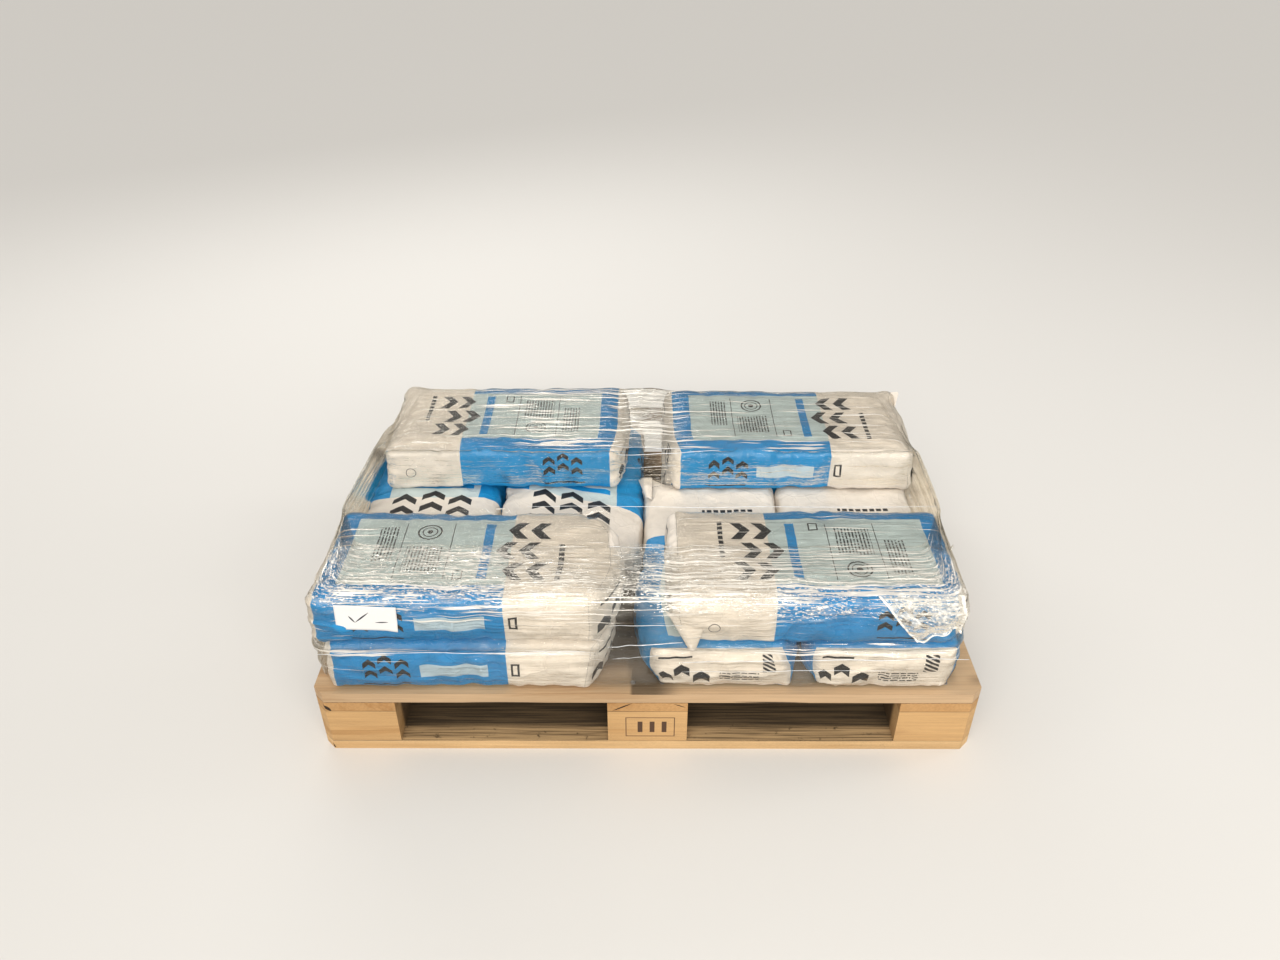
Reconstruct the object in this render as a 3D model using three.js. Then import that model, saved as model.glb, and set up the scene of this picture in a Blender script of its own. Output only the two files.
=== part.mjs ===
import * as THREE from 'three';
import { mergeVertices } from 'three/addons/utils/BufferGeometryUtils.js';
import { ParametricGeometry } from 'three/addons/geometries/ParametricGeometry.js';

// A flat wooden pallet, 1200 by 800 by 144 mm, that carries ten filled paper sacks:
// six flat on the deck and four on top of them, wound together in clear stretch film.
// Millimetres, +Z up. The origin is the middle of the pallet's footprint, on the floor.
// +X runs along the long side and the front faces -Y.

// Pallet
const palletLength = 1200;
const palletWidth = 800;
const boardThickness = 22;
const blockHeight = 78;
const wideBoard = 145;
const narrowBoard = 100;
const cornerChamfer = 18;
const deckBoardWidths = [wideBoard, narrowBoard, wideBoard, narrowBoard, wideBoard];
const blockTop = boardThickness + blockHeight;
const crossBoardTop = blockTop + boardThickness;
const deckTop = crossBoardTop + boardThickness;

// Sacks: a soft piece lies this far off whatever it rests on
const restGap = 0.3;
const lowLayerTop = 246;
const topLayerTop = 350;
const pressedFlat = 2.5;
const endRoundness = 5;
const sideRoundness = 4.5;
const sackSegments = { along: 8, across: 6, up: 6 };

// Stretch film
const filmThickness = 1.2;
const filmCornerRadius = 46;
const filmCornerSteps = 4;

// Paper label, stuck on the film in front of the upper left sack
const labelWidth = 105;
const labelHeight = 54;
const labelThickness = 0.4;
const labelGap = 1;
const labelCentre = { x: -479, z: 313 };
const labelTurn = THREE.MathUtils.degToRad(3);

// Materials
const pine = new THREE.MeshStandardMaterial({ color: 0xd7b482, roughness: 0.8, metalness: 0 });
const chipWood = new THREE.MeshStandardMaterial({ color: 0xc9a574, roughness: 0.85, metalness: 0 });
const sackPaper = new THREE.MeshStandardMaterial({ color: 0xdcd4c8, roughness: 0.6, metalness: 0 });
const clearFilm = new THREE.MeshStandardMaterial({
  color: 0xe6eef2, roughness: 0.12, metalness: 0, transparent: true, opacity: 0.25,
});
const labelPaper = new THREE.MeshStandardMaterial({ color: 0xf2f1ee, roughness: 0.7, metalness: 0 });

const palletOfSacks = new THREE.Group();

function addMesh(name, geometry, material, parent = palletOfSacks) {
  const mesh = new THREE.Mesh(geometry, material);
  mesh.name = name;
  parent.add(mesh);
  return mesh;
}

// A timber lies square to the pallet between two corners. A timber corner that is also a
// corner of the pallet is cut off at 45 degrees.
function timberGeometry(low, high) {
  const outline = [];
  const corners = [[low.x, low.y], [high.x, low.y], [high.x, high.y], [low.x, high.y]];
  corners.forEach(([x, y], index) => {
    const atPalletCorner = Math.abs(x) === palletLength / 2 && Math.abs(y) === palletWidth / 2;
    if (!atPalletCorner) {
      outline.push(new THREE.Vector2(x, y));
      return;
    }
    const cutAlongX = new THREE.Vector2(x - Math.sign(x) * cornerChamfer, y);
    const cutAlongY = new THREE.Vector2(x, y - Math.sign(y) * cornerChamfer);
    const xComesFirst = index % 2 === 1;
    outline.push(...(xComesFirst ? [cutAlongX, cutAlongY] : [cutAlongY, cutAlongX]));
  });
  const geometry = new THREE.ExtrudeGeometry(new THREE.Shape(outline), {
    depth: high.z - low.z, bevelEnabled: false,
  });
  return geometry.translate(0, 0, low.z);
}

function addTimber(name, low, high, material = pine) {
  addMesh(name, timberGeometry(low, high), material);
}

// Block columns across the pallet and block rows from front to rear
const columns = [
  { name: 'left', low: -palletLength / 2, high: -palletLength / 2 + wideBoard },
  { name: 'centre', low: -wideBoard / 2, high: wideBoard / 2 },
  { name: 'right', low: palletLength / 2 - wideBoard, high: palletLength / 2 },
];
const rows = [
  { name: 'front', low: -palletWidth / 2, high: -palletWidth / 2 + narrowBoard },
  { name: 'middle', low: -wideBoard / 2, high: wideBoard / 2 },
  { name: 'rear', low: palletWidth / 2 - narrowBoard, high: palletWidth / 2 },
];

function addPallet() {
  for (const row of rows) {
    addTimber(
      `bottom_board_${row.name}`,
      { x: -palletLength / 2, y: row.low, z: 0 },
      { x: palletLength / 2, y: row.high, z: boardThickness },
    );
    for (const column of columns) {
      addTimber(
        `block_${row.name}_${column.name}`,
        { x: column.low, y: row.low, z: boardThickness },
        { x: column.high, y: row.high, z: blockTop },
        chipWood,
      );
    }
  }
  for (const column of columns) {
    addTimber(
      `cross_board_${column.name}`,
      { x: column.low, y: -palletWidth / 2, z: blockTop },
      { x: column.high, y: palletWidth / 2, z: crossBoardTop },
    );
  }
  const boardsTogether = deckBoardWidths.reduce((sum, width) => sum + width, 0);
  const deckGap = (palletWidth - boardsTogether) / (deckBoardWidths.length - 1);
  let front = -palletWidth / 2;
  deckBoardWidths.forEach((width, index) => {
    const isLast = index === deckBoardWidths.length - 1;
    const rear = isLast ? palletWidth / 2 : front + width;
    addTimber(
      `deck_board_${index + 1}`,
      { x: -palletLength / 2, y: front, z: crossBoardTop },
      { x: palletLength / 2, y: rear, z: deckTop },
    );
    front = rear + deckGap;
  });
}

// A filled sack is a box whose edges are rounded off by a superellipse. Its long axis is X.
// Underneath, and on top where another sack lies on it, it is pressed flat. The lean of an
// end is how far its upper edge stands out past its lower one.
function sackGeometry({ length, width, height, pressedOnTop, leanLow = 0, leanHigh = 0 }) {
  const { along, across, up } = sackSegments;
  const box = new THREE.BoxGeometry(2, 2, 2, along, across, up);
  box.deleteAttribute('normal');
  box.deleteAttribute('uv');
  const geometry = mergeVertices(box);
  const position = geometry.getAttribute('position');
  const spread = (value) => Math.sin((value * Math.PI) / 2);
  const pressedOff = pressedFlat * (pressedOnTop ? 2 : 1);
  const halfHeight = (height + pressedOff) / 2;
  for (let i = 0; i < position.count; i += 1) {
    const x = spread(position.getX(i));
    const y = spread(position.getY(i));
    const z = spread(position.getZ(i));
    const section = (Math.abs(y) ** sideRoundness + Math.abs(z) ** sideRoundness) ** (1 / sideRoundness);
    const reach = (Math.abs(x) ** endRoundness + section ** endRoundness) ** (1 / endRoundness);
    const level = THREE.MathUtils.clamp((z / reach + 1) * halfHeight - pressedFlat, 0, height);
    const lean = x < 0 ? -leanLow : leanHigh;
    const atEnd = Math.abs(x / reach) ** 3;
    const leanOut = lean * atEnd * (level / height - 1);
    position.setXYZ(i, (x / reach) * (length / 2) + leanOut, (y / reach) * (width / 2), level);
  }
  return geometry;
}

// The sacks, each by the corners of its footprint and its layer. A lean is in millimetres.
const sacks = [
  { name: 'sack_low_front_left', x: [-586, -59], y: [-391.2, -126], layer: 'low', leanHigh: 34 },
  { name: 'sack_low_front_right_inner', x: [-4, 272], y: [-389, 128], layer: 'low' },
  { name: 'sack_low_front_right_outer', x: [276, 553], y: [-388, 128], layer: 'low' },
  { name: 'sack_low_rear_left_outer', x: [-589, -311], y: [-122, 396], layer: 'low' },
  { name: 'sack_low_rear_left_inner', x: [-307, -8], y: [-122, 395], layer: 'low' },
  { name: 'sack_low_rear_right', x: [38, 560], y: [133, 397], layer: 'low' },
  { name: 'sack_top_front_left', x: [-582, -62], y: [-382, -119], layer: 'top' },
  { name: 'sack_top_front_right', x: [36, 554], y: [-384.6, -111], layer: 'top' },
  { name: 'sack_top_rear_left', x: [-551, -42], y: [86, 365], layer: 'top' },
  { name: 'sack_top_rear_right', x: [40, 561], y: [82, 351], layer: 'top' },
];

function addSacks() {
  for (const { name, x, y, layer, leanLow, leanHigh } of sacks) {
    const sizeX = x[1] - x[0];
    const sizeY = y[1] - y[0];
    const crosswise = sizeY > sizeX;
    const isLow = layer === 'low';
    const base = (isLow ? deckTop : lowLayerTop) + restGap;
    const top = isLow ? lowLayerTop : topLayerTop;
    const geometry = sackGeometry({
      length: Math.max(sizeX, sizeY),
      width: Math.min(sizeX, sizeY),
      height: top - base,
      pressedOnTop: isLow,
      leanLow,
      leanHigh,
    });
    const mesh = addMesh(name, geometry, sackPaper.clone());
    mesh.rotation.z = crosswise ? Math.PI / 2 : 0;
    mesh.position.set((x[0] + x[1]) / 2, (y[0] + y[1]) / 2, base);
  }
}

// The film's outer face in plan, counter-clockwise from the front left: the loop round the
// lower sacks, the loop round the upper ones, and its free edge on top. It spans the gaps
// between the sacks. The rim is how much of the profile's inset a corner has: at the valley
// between the two rows the film stands almost upright and leaves the top open.
const filmCorners = [
  { low: [-589.9, -393.6], top: [-583.8, -383.8], free: [-525, -237], rim: 1, rounded: true },
  { low: [556.4, -390.6], top: [556.4, -387], free: [498, -237], rim: 1, rounded: true },
  { low: [558.6, -125], top: [559.4, -125], free: [549.4, -125], rim: 0.2, rounded: false },
  { low: [560.3, 88], top: [561.9, 88], free: [551.9, 88], rim: 0.2, rounded: false },
  { low: [562.8, 398.8], top: [565, 353.4], free: [506, 92], rim: 1, rounded: true },
  { low: [0, 398.8], top: [-60, 367], free: [-60, 92], rim: 1, rounded: false },
  { low: [-590.8, 398.6], top: [-553, 367], free: [-495, 92], rim: 1, rounded: true },
  { low: [-590.8, 88], top: [-569.4, 88], free: [-559.4, 88], rim: 0.2, rounded: false },
  { low: [-590.7, -125], top: [-584, -125], free: [-574, -125], rim: 0.2, rounded: false },
];

// The film's outer face from its lower edge to its free edge on top: how far in from the
// loop, how high, and how far from the lower loop (0) to the upper one (1) and the free edge (2).
const filmProfile = [
  { inset: 5, z: 155, blend: 0 },
  { inset: 0, z: 172, blend: 0 },
  { inset: 0, z: 228, blend: 0 },
  { inset: 0, z: 288, blend: 1 },
  { inset: 0, z: 318, blend: 1 },
  { inset: 5, z: 339.2, blend: 1 },
  { inset: 20, z: 349.4, blend: 1 },
  { inset: 45, z: 351.7, blend: 1 },
  { inset: 0, z: 351.8, blend: 2 },
];

function insideOf(profile, distance) {
  return profile.map((point, index) => {
    if (point.blend === 2) {
      return { ...point, z: point.z - distance };
    }
    const before = profile[Math.max(index - 1, 0)];
    const after = profile[Math.min(index + 1, profile.length - 1)];
    const reachesFreeEdge = after.blend === 2;
    const run = reachesFreeEdge
      ? new THREE.Vector2(1, 0)
      : new THREE.Vector2(after.inset - before.inset, after.z - before.z).normalize();
    return { inset: point.inset + run.y * distance, z: point.z - run.x * distance, blend: point.blend };
  });
}

// The film's section at a corner: up its outer face and back down its inner one.
function filmSection({ rim }) {
  const outer = filmProfile.map((point) => ({ ...point, inset: point.inset * rim }));
  return [...outer, ...insideOf(outer, filmThickness).reverse()];
}

// Where a corner of the film lies at one point of its section. The loop turns there along
// both sides of a rounded corner, and along one side of another.
function filmCornerAt({ low, top, free, rounded }, { inset, z, blend }) {
  if (blend === 2) {
    return new THREE.Vector3(...free, z);
  }
  const at = new THREE.Vector2(...low).lerp(new THREE.Vector2(...top), blend);
  const onRear = !rounded && at.y > palletWidth / 4;
  const insetX = onRear ? 0 : inset;
  const insetY = onRear || rounded ? inset : 0;
  return new THREE.Vector3(at.x - Math.sign(at.x) * insetX, at.y - Math.sign(at.y) * insetY, z);
}

function filmLoop(ring, sections) {
  const corners = filmCorners.map((corner, index) => filmCornerAt(corner, sections[index][ring]));
  const loop = [];
  corners.forEach((corner, index) => {
    if (!filmCorners[index].rounded) {
      loop.push(corner);
      return;
    }
    const { inset, blend } = sections[index][ring];
    const radius = blend === 2 ? filmCornerRadius / 2 : filmCornerRadius - inset / 2;
    const before = corners[(index + corners.length - 1) % corners.length];
    const after = corners[(index + 1) % corners.length];
    const start = corner.clone().add(before.clone().sub(corner).setLength(radius));
    const end = corner.clone().add(after.clone().sub(corner).setLength(radius));
    loop.push(...new THREE.QuadraticBezierCurve3(start, corner, end).getPoints(filmCornerSteps));
  });
  return loop;
}

function addFilm() {
  const sections = filmCorners.map(filmSection);
  const loops = sections[0].map((_, ring) => filmLoop(ring, sections));
  const around = loops[0].length;
  const facesOut = (u, v, target) => {
    const point = Math.round(u * around) % around;
    const ring = Math.round(v * loops.length) % loops.length;
    target.copy(loops[ring][point]);
  };
  const geometry = new ParametricGeometry(facesOut, around, loops.length);
  geometry.deleteAttribute('normal');
  geometry.deleteAttribute('uv');
  addMesh('stretch_film', mergeVertices(geometry), clearFilm);
}

// Where the film's front is at a place along it and a height.
function filmFrontAt(x, z) {
  const upper = filmProfile.findIndex((point) => point.z >= z);
  const [below, above] = [filmProfile[upper - 1], filmProfile[upper]];
  const part = (z - below.z) / (above.z - below.z);
  const blend = THREE.MathUtils.lerp(below.blend, above.blend, part);
  const inset = THREE.MathUtils.lerp(below.inset, above.inset, part);
  const [left, right] = filmCorners;
  const along = (x - left.top[0]) / (right.top[0] - left.top[0]);
  const low = THREE.MathUtils.lerp(left.low[1], right.low[1], along);
  const top = THREE.MathUtils.lerp(left.top[1], right.top[1], along);
  return THREE.MathUtils.lerp(low, top, blend) + inset;
}

// The label bends over with the film that it is stuck on.
function addLabel() {
  const heights = [-0.5, -0.1, 0.1, 0.3, 0.46].map((part) => part * labelHeight);
  const face = (standOff) => heights.map((height) => (
    new THREE.Vector2(filmFrontAt(labelCentre.x, labelCentre.z + height) - standOff, height)
  ));
  const outline = [...face(labelGap), ...face(labelGap + labelThickness).reverse()];
  const geometry = new THREE.ExtrudeGeometry(new THREE.Shape(outline), {
    depth: labelWidth, bevelEnabled: false,
  });
  geometry.translate(0, 0, -labelWidth / 2);
  geometry.rotateX(Math.PI / 2);
  geometry.rotateZ(Math.PI / 2);
  const label = addMesh('paper_label', geometry, labelPaper);
  label.rotation.y = labelTurn;
  label.position.set(labelCentre.x, 0, labelCentre.z);
}

addPallet();
addSacks();
addFilm();
addLabel();

export default palletOfSacks;
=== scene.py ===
"""A wooden pallet that carries ten filled paper sacks, wound together in clear stretch film."""

import itertools
import math
from dataclasses import dataclass, field

import bmesh
import bpy
import numpy as np
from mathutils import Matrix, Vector
from mathutils.bvhtree import BVHTree


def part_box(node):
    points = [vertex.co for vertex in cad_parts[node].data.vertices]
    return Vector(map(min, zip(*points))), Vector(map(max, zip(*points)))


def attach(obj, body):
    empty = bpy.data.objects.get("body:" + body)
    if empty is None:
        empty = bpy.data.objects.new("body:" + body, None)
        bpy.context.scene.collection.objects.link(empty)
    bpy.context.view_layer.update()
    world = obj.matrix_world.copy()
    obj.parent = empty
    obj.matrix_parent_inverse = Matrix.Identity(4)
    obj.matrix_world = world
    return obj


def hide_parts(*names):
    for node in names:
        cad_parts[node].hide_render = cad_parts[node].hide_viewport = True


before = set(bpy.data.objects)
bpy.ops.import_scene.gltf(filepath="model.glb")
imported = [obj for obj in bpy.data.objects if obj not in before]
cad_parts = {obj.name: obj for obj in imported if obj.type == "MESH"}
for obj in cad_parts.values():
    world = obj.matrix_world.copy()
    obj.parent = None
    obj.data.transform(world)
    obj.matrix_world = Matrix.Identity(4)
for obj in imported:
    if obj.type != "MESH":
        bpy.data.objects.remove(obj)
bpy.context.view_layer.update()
MM = 0.001


# Objects and meshes

def set_all(thing, **values):
    for name, value in values.items():
        setattr(thing, name, value)


def add_object(name, data):
    thing = bpy.data.objects.new(name, data)
    bpy.context.scene.collection.objects.link(thing)
    return thing


def add_camera():
    """The camera, at the photograph's place."""
    data = bpy.data.cameras.new("camera")
    set_all(data, sensor_width=36, lens=27.61)
    camera = add_object("camera", data)
    camera.location = (-0.011, -1.629, 1.446)
    camera.rotation_euler = (math.radians(55.66), 0, math.radians(0.12))
    bpy.context.scene.camera = camera


def mesh_object(name, points, faces, materials, smooth=True):
    mesh = bpy.data.meshes.new(name)
    mesh.from_pydata([tuple(point) for point in points], [], [tuple(face) for face in faces])
    mesh.polygons.foreach_set("use_smooth", [smooth] * len(mesh.polygons))
    for material in materials:
        mesh.materials.append(material)
    return add_object(name, mesh)


def read_rows(items, name, size, kind=np.float32):
    """One property of all the items, a row for each."""
    flat = np.empty(len(items) * size, kind)
    items.foreach_get(name, flat)
    return flat.reshape(-1, size)


def points_of(mesh):
    return read_rows(mesh.vertices, "co", 3).astype(float)


def normals_of(mesh):
    return read_rows(mesh.vertex_normals, "vector", 3).astype(float)


def set_points(mesh, points):
    mesh.vertices.foreach_set("co", np.asarray(points, np.float32).ravel())
    mesh.update()


def set_map(thing, name, places):
    """A flat map of the mesh, from the place of each face corner."""
    layer = thing.data.uv_layers.new(name=name)
    layer.data.foreach_set("uv", np.array(places).ravel())


def finish_piece(thing, slot, *nodes):
    """The piece rides on the body and stands for the nodes. Its slot is not used."""
    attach(thing, "root")
    if nodes:
        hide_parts(*nodes)


def grid_squares(rows, columns, closed=False):
    """The squares of a grid of points, each as four corners of row and column."""
    for row, column in itertools.product(range(rows - 1), range(columns if closed else columns - 1)):
        following = (column + 1) % columns
        yield (row, column), (row, following), (row + 1, following), (row + 1, column)


def patch(corners, rows, columns):
    """A grid of points between four corners: top left, top right, low left and low right.
    With it comes how far down and over each point lies, from 0 to 1."""
    down, over = np.meshgrid(np.linspace(0, 1, rows + 1), np.linspace(0, 1, columns + 1), indexing="ij")
    top_left, top_right, low_left, low_right = np.array(corners, float)
    top = top_left + (top_right - top_left) * over[..., None]
    low = low_left + (low_right - low_left) * over[..., None]
    return top + (low - top) * down[..., None], down, over


def circle(sides, start=0.0):
    angles = [start + 2 * math.pi * side / sides for side in range(sides)]
    return [(math.cos(angle), math.sin(angle)) for angle in angles]


def add_tube(points, faces, rings):
    """A closed tube through rings of points, with flat ends."""
    base, sides = len(points), len(rings[0])
    for ring in rings:
        points += ring
    for square in grid_squares(len(rings), sides, closed=True):
        faces.append([base + row * sides + side for row, side in square])
    faces.append(range(base + sides - 1, base - 1, -1))
    faces.append(range(len(points) - sides, len(points)))


# Noise

LOW_32_BITS = np.uint64(0xFFFFFFFF)


def lattice_values(cell, seed):
    """A repeatable value from -1 to 1 for each whole-number cell."""
    x, y, z = (cell[..., i].astype(np.uint64) for i in range(3))
    mixed = x * np.uint64(73856093) ^ y * np.uint64(19349663) ^ z * np.uint64(83492791)
    mixed ^= np.uint64(seed * 2654435761 % 2 ** 32)
    for shift, factor in ((15, 2246822519), (13, 3266489917)):
        mixed = (mixed ^ (mixed >> np.uint64(shift))) * np.uint64(factor)
        mixed &= LOW_32_BITS
    mixed ^= mixed >> np.uint64(16)
    return (mixed & np.uint64(0xFFFF)).astype(float) / 32767.5 - 1


def noise(places, seed):
    """Smooth noise from -1 to 1 at places given in cells."""
    places = np.asarray(places, float)
    cell = np.floor(places).astype(np.int64)
    part = places - cell
    part = part ** 3 * (part * (part * 6 - 15) + 10)
    total = np.zeros(places.shape[:-1])
    for corner in itertools.product((0, 1), repeat=3):
        shares = np.where(corner, part, 1 - part)
        total += lattice_values(cell + np.array(corner), seed) * shares.prod(axis=-1)
    return total


def layered_noise(places, seed):
    return noise(places, seed) + noise(places * 2, seed + 1) / 2


def creases(places, seed):
    """Sharp ridges of height 1 with wide shallow hollows between them."""
    return (1 - np.abs(noise(places, seed))) ** 4


def stacked(*parts):
    """Coordinates side by side, as places for the noise."""
    return np.stack(np.broadcast_arrays(*parts), axis=-1)


def smooth_step(value, low, high):
    part = np.clip((value - low) / (high - low), 0, 1)
    return part * part * (3 - 2 * part)


# Shader graphs

def operator(operation):
    """What a Wire does in a sum: it adds a Math node."""
    return lambda wire, *others: wire.graph.math(operation, wire, *others)


class Wire:
    """A node's output, which takes part in sums as a number does."""

    def __init__(self, graph, socket):
        self.graph = graph
        self.socket = socket

    __add__ = __radd__ = operator("ADD")
    __mul__ = __rmul__ = operator("MULTIPLY")
    __sub__ = operator("SUBTRACT")
    __truediv__ = operator("DIVIDE")
    __lt__ = operator("LESS_THAN")
    __gt__ = operator("GREATER_THAN")
    __abs__ = operator("ABSOLUTE")
    __round__ = operator("ROUND")
    __floor__ = operator("FLOOR")

    def wrap(self, high, low=0.0):
        return self.graph.math("WRAP", self, high, low)

    def inside(self, low, high):
        """1 where the value lies between low and high, otherwise 0."""
        return self.graph.math("COMPARE", self, (low + high) / 2, (high - low) / 2)

    def ramp(self, low, high, start=0.0, end=1.0):
        """A smooth way from start, where the value is low, to end, where it is high."""
        values = dict(enumerate((self, low, high, start, end)))
        return self.graph.out("MapRange", values, interpolation_type="SMOOTHSTEP")

    def fall(self, low, high):
        return self.ramp(low, high, 1.0, 0.0)


class Graph:
    """Adds shader nodes to a new material. A value is a number, a tuple or a Wire."""

    def __init__(self, name):
        self.material = bpy.data.materials.new(name)
        self.material.use_nodes = True
        self.tree = self.material.node_tree
        self.tree.nodes.clear()

    def add(self, kind, values, **settings):
        """A new node, its inputs given by name or by number."""
        node = self.tree.nodes.new("ShaderNode" + kind)
        set_all(node, **settings)
        for name, value in values.items():
            socket = node.inputs[name]
            if isinstance(value, Wire):
                self.tree.links.new(value.socket, socket)
            elif socket.type == "RGBA":
                socket.default_value = (*value, 1)
            else:
                socket.default_value = value
        return node

    def out(self, kind, values, output=0, **settings):
        """One output of a new node."""
        return Wire(self, self.add(kind, values, **settings).outputs[output])

    def math(self, operation, *values, clamp=False):
        return self.out("Math", dict(enumerate(values)), operation=operation, use_clamp=clamp)

    def mix(self, share, a, b, blend="MIX"):
        return self.out("Mix", {0: share, 6: a, 7: b}, 2, data_type="RGBA", blend_type=blend)

    def paint(self, colour, *coats):
        """A colour under coats, each with the share that covers and its own colour."""
        for share, coat in coats:
            colour = self.mix(share, colour, coat)
        return colour

    def shaded(self, colour, shade):
        return self.mix(1.0, colour, self.combine(shade, shade, shade), "MULTIPLY")

    def place(self, scale=(1, 1, 1), source=None):
        """The place on the object in metres, or another source, stretched by scale."""
        source = source or self.out("TexCoord", {}, "Object")
        return self.out("Mapping", {"Vector": source, "Scale": scale})

    def flat_map(self, name):
        return self.out("UVMap", {}, uv_map=name)

    def noise(self, vector, scale, detail=2.0, roughness=0.5, distortion=0.0, output="Fac"):
        values = {"Vector": vector, "Scale": scale, "Detail": detail, "Roughness": roughness}
        return self.out("TexNoise", {**values, "Distortion": distortion}, output)

    def separate(self, vector):
        return [Wire(self, part) for part in self.add("SeparateXYZ", {"Vector": vector}).outputs]

    def combine(self, x, y, z=0.0):
        return self.out("CombineXYZ", {"X": x, "Y": y, "Z": z})

    def bent(self, vector, by, amount):
        """A place moved by an amount of another vector."""
        return self.out("VectorMath", {0: by, 1: (amount,) * 3, 2: vector}, operation="MULTIPLY_ADD")

    def bump(self, height, distance, strength=1.0):
        return self.out("Bump", {"Height": height, "Distance": distance, "Strength": strength})

    def principled(self, colour, roughness, normal, specular=0.5, metallic=0.0):
        values = {"Base Color": colour, "Roughness": roughness, "Normal": normal}
        return self.out("BsdfPrincipled", {**values, "Specular IOR Level": specular, "Metallic": metallic})

    def mix_shaders(self, share, a, b):
        return self.out("MixShader", {0: share, 1: a, 2: b})

    def finish(self, shader):
        self.add("OutputMaterial", {"Surface": shader})
        return self.material


def either(first, *others):
    """The largest of several values."""
    for other in others:
        first = first.graph.math("MAXIMUM", first, other)
    return first


def box(u, v, u_range, v_range):
    return u.inside(*u_range) * v.inside(*v_range)


def framed_box(u, v, u_range, v_range, line):
    """The outline of a box, as wide as the line."""
    hole = box(u, v, *[(low + line, high - line) for low, high in (u_range, v_range)])
    return u.graph.math("SUBTRACT", box(u, v, u_range, v_range), hole, clamp=True)


# Paper of the sacks

WHITE_PAPER = (0.79, 0.725, 0.645)
PANEL_PAPER = (0.54, 0.625, 0.625)
PRINT_BLUE = (0.012, 0.255, 0.56)
WINDOW_PAPER = (0.50, 0.62, 0.70)
PRINT_DARK = (0.016, 0.016, 0.018)

# The print's layout in metres: u runs along the sack from its middle towards the white end,
# v runs round it from the middle of the top.
WHITE_FROM = 0.076
BLUE_FROM = -0.252
PANEL_FROM = -0.213
PANEL_HALF_WIDTH = 0.094
CROSS_STRIPE = (0.025, 0.042)
STRIPE_HALF_WIDTH = 0.080
SEAM = (0.243, 0.244)


def chevrons(along, across, start, pitch, step, stroke, rows):
    """Bold chevrons in three columns side by side. Those beside the middle one are stepped back."""
    arm = abs(across.wrap(pitch / 2, -pitch / 2))
    column = abs(round(across / pitch))
    rise = arm * -0.75 + (column * (-0.42 * step) + along) - start
    bold = rise.wrap(step) < stroke
    return bold * rise.inside(0.0, rows * step) * (arm < pitch * 0.41) * (abs(across) < pitch * 1.5)


def small_print(graph, along, across, line_pitch, length, seed):
    """Lines of broken dashes, like print too small to read."""
    on_line = across.wrap(line_pitch) < line_pitch * 0.45
    place = graph.combine(along / length, math.floor(across / line_pitch), seed)
    return on_line * (graph.noise(place, 1.0, detail=0.0) > 0.43)


def rings(graph, u, v, centre, *bands):
    """Rings, or a disc, around a centre: one for each band of radii."""
    ends = {0: graph.combine(u, v), 1: (*centre, 0)}
    distance = graph.out("VectorMath", ends, "Value", operation="DISTANCE")
    return either(*[distance.inside(*band) for band in bands])


def paper_bump(graph, vector):
    """Fine creases and the soft tooth of the paper."""
    bent = graph.bent(vector, graph.noise(vector, 9.0, detail=3.0, output="Color"), 0.10)
    height = graph.noise(vector, 60.0, detail=4.0, roughness=0.6)
    for scale, width, share in ((26.0, 0.06, 0.30), (9.0, 0.030, 0.55)):
        values = {"Vector": bent, "Scale": scale}
        folds = graph.out("TexVoronoi", values, feature="DISTANCE_TO_EDGE")
        height = folds.fall(0.0, width) * share + height
    return graph.bump(height, 0.0015, 0.6)


def gap_shade(graph, vector):
    """Darker on the sack's side in the narrow gap between the two front sacks, low down."""
    x, y, z = graph.separate(vector)
    in_gap = x.ramp(-0.044, -0.037) * x.fall(0.010, 0.030) * z.fall(0.238, 0.264)
    in_gap = in_gap * y.ramp(-0.36, -0.30, 0.5, 1.0) * y.fall(-0.13, -0.10)
    return in_gap * -0.50 + 1.0


def paper_material(graph, colour, ink):
    """Coated sack paper: print ink is a little glossier than the bare sheet."""
    vector = graph.place()
    shade = graph.noise(vector, 14.0, detail=4.0, roughness=0.65).ramp(0.25, 0.75, 0.90, 1.06)
    colour = graph.shaded(colour, shade * gap_shade(graph, vector))
    bump = paper_bump(graph, vector)
    return graph.finish(graph.principled(colour, ink * -0.10 + 0.52, bump, specular=0.42))


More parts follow.
